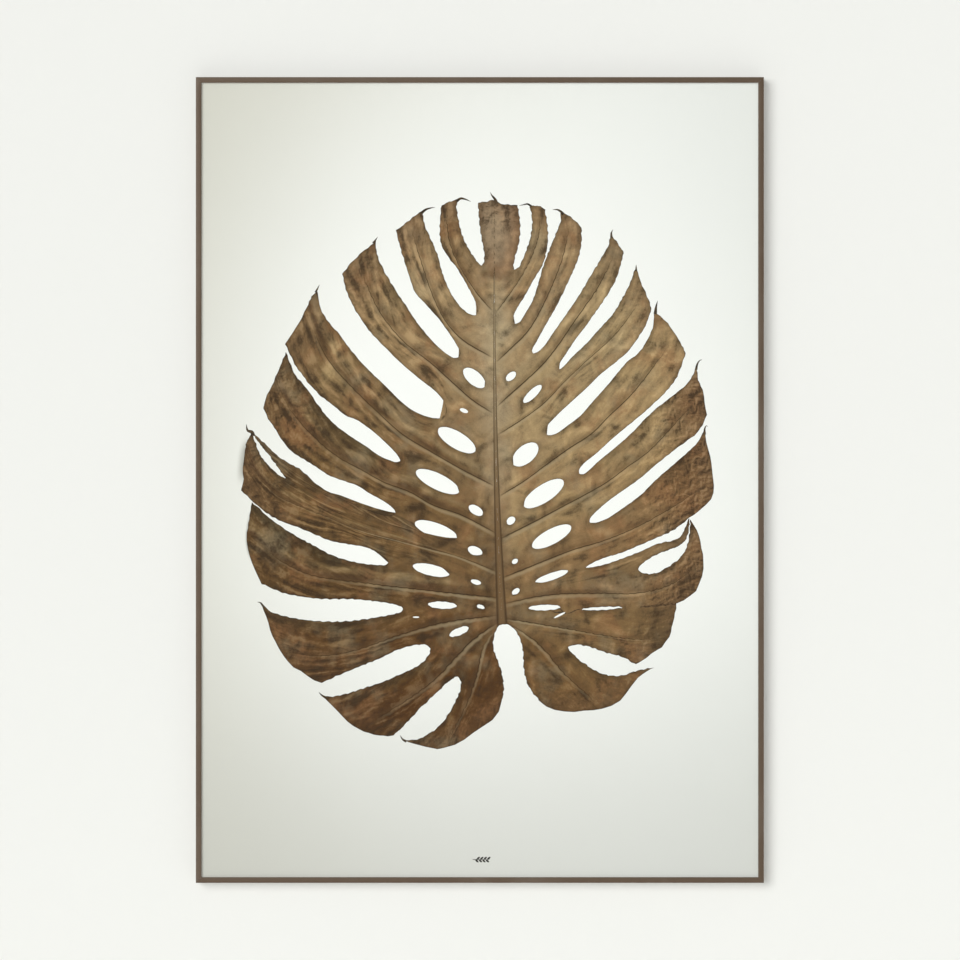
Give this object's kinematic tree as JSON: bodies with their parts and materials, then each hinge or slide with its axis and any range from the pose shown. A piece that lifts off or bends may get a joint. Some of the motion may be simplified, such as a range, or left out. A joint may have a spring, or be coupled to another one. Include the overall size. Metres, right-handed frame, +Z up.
{
  "type": "framed art print",
  "caption": "Slim dark brown metal picture frame, glazed, holding a large portrait print of a dried split leaf on a pale ground.",
  "frame": {"origin": "middle of the whole object's bounding box", "axes": "+Z up along the picture's long side, +X to the viewer's right, +Y from the picture back into the wall"},
  "size_m": [0.712, 0.024, 1.01],
  "materials": {
    "frame_brown": "satin dark brown coating on extruded aluminium, fine lengthways grain",
    "glazing": "clear, low reflection",
    "print_paper": "matt uncoated art paper printed in brown inks",
    "backing_board": "brown pressed hardboard",
    "hardware_steel": "zinc plated",
    "bumper_rubber": "matt black"
  },
  "bodies": {
    "root": {"rail_left": "frame_brown", "rail_top": "frame_brown", "rail_right": "frame_brown", "rail_bottom": "frame_brown", "clear_glazing": "glazing", "print_sheet": "print_paper", "backing_board": "backing_board", "spring_clip_left_1": "hardware_steel", "spring_clip_left_2": "hardware_steel", "spring_clip_left_3": "hardware_steel", "spring_clip_top_1": "hardware_steel", "spring_clip_top_2": "hardware_steel", "spring_clip_right_1": "hardware_steel", "spring_clip_right_2": "hardware_steel", "spring_clip_right_3": "hardware_steel", "spring_clip_bottom_1": "hardware_steel", "spring_clip_bottom_2": "hardware_steel", "corner_plate_lower_left": "hardware_steel", "corner_shim_lower_left": "hardware_steel", "corner_screw_lower_left_1": "hardware_steel", "corner_screw_lower_left_2": "hardware_steel", "corner_plate_upper_left": "hardware_steel", "corner_shim_upper_left": "hardware_steel", "corner_screw_upper_left_1": "hardware_steel", "corner_screw_upper_left_2": "hardware_steel", "corner_plate_upper_right": "hardware_steel", "corner_shim_upper_right": "hardware_steel", "corner_screw_upper_right_1": "hardware_steel", "corner_screw_upper_right_2": "hardware_steel", "corner_plate_lower_right": "hardware_steel", "corner_shim_lower_right": "hardware_steel", "corner_screw_lower_right_1": "hardware_steel", "corner_screw_lower_right_2": "hardware_steel", "hanger_left": "hardware_steel", "hanger_screw_left": "hardware_steel", "bumper_left": "bumper_rubber", "hanger_right": "hardware_steel", "hanger_screw_right": "hardware_steel", "bumper_right": "bumper_rubber"}
  },
  "joints": []
}
